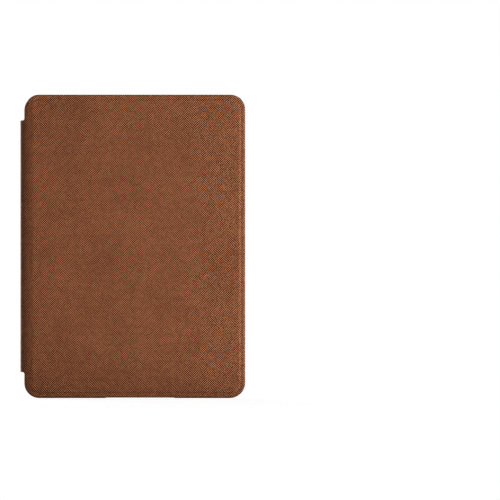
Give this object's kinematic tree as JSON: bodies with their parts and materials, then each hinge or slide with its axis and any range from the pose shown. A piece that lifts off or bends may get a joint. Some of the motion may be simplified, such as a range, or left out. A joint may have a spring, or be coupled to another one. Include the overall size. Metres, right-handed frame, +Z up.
{
  "type": "e-reader in a folio case",
  "caption": "Slim e-reader snapped into a hard shell with a cross-grain leather folio cover that opens and folds back.",
  "frame": {"origin": "middle of the closed case's footprint, on the plane of the shell's bottom edge", "axes": "+Z up the page, -Y out of the front cover, +Y out of the back, spine on -X"},
  "size_m": [0.1314, 0.0128, 0.1771],
  "materials": {
    "leather": "fine diagonal cross-grain, satin",
    "shell_plastic": "satin, fine spark texture",
    "microfibre": "brushed microfibre",
    "housing_plastic": "soft-touch matte",
    "bezel_plastic": "matte",
    "lens": "anti-glare, fine matte etch",
    "clear_film": "clear film",
    "light_source": "potted light sources",
    "epaper": "matte paper-like",
    "frame_metal": "blasted",
    "rubber": "matte",
    "flex_film": "polyimide film",
    "cell_foil": "satin foil",
    "adhesive_tape": "tacky tape",
    "wire": "silicone insulation",
    "circuit_board": "solder mask",
    "chip_body": "moulded epoxy",
    "sheet_steel": "tinned sheet",
    "socket_steel": "satin nickel",
    "light_lens": "diffusing",
    "magnet": "nickel plated",
    "screw_steel": "zinc plated",
    "button_plastic": "matte",
    "board_card": "pressed card"
  },
  "bodies": {
    "root": {"case_shell": "shell_plastic", "back_panel": "leather", "shell_lining": "microfibre", "rear_housing": "housing_plastic", "front_bezel": "bezel_plastic", "screen_lens": "lens", "touch_sensor": "clear_film", "light_guide": "clear_film", "frontlight_strip": "light_source", "epaper_panel": "epaper", "midframe": "frame_metal", "perimeter_gasket": "rubber", "display_flex": "flex_film", "battery": "cell_foil", "battery_adhesive": "adhesive_tape", "battery_lead": "wire", "main_board": "circuit_board", "processor": "chip_body", "memory_chip": "chip_body", "power_chip": "chip_body", "shield_can": "sheet_steel", "antenna_flex": "flex_film", "usb_c_port": "socket_steel", "port_gasket": "rubber", "power_switch": "chip_body", "status_led_lens": "light_lens", "hall_sensor": "chip_body", "reader_magnets": "magnet", "board_screws": "screw_steel", "midframe_screws": "screw_steel"},
    "power_button": {"power_button": "button_plastic"},
    "spine": {"spine_leather": "leather", "spine_stay": "board_card", "spine_lining": "microfibre"},
    "cover": {"cover_leather": "leather", "cover_board": "board_card", "cover_lining": "microfibre", "cover_magnets": "magnet", "wake_magnet": "magnet"}
  },
  "joints": [
    {"name": "spine_hinge", "type": "hinge", "parent": "root", "child": "spine", "pos_m": [-0.0651, 0.0058, 0], "axis": [0, 0, -1], "range_deg": [0, 90]},
    {"name": "cover_hinge", "type": "hinge", "parent": "spine", "child": "cover", "pos_m": [-0.0659, -0.0066, 0], "axis": [0, 0, -1], "range_deg": [0, 270]},
    {"name": "power_button_press", "type": "slide", "parent": "root", "child": "power_button", "axis": [0, 0, 1], "range_m": [0, 0.00035], "stiffness_N_per_m": 1500, "springref_m": -0.0004}
  ]
}
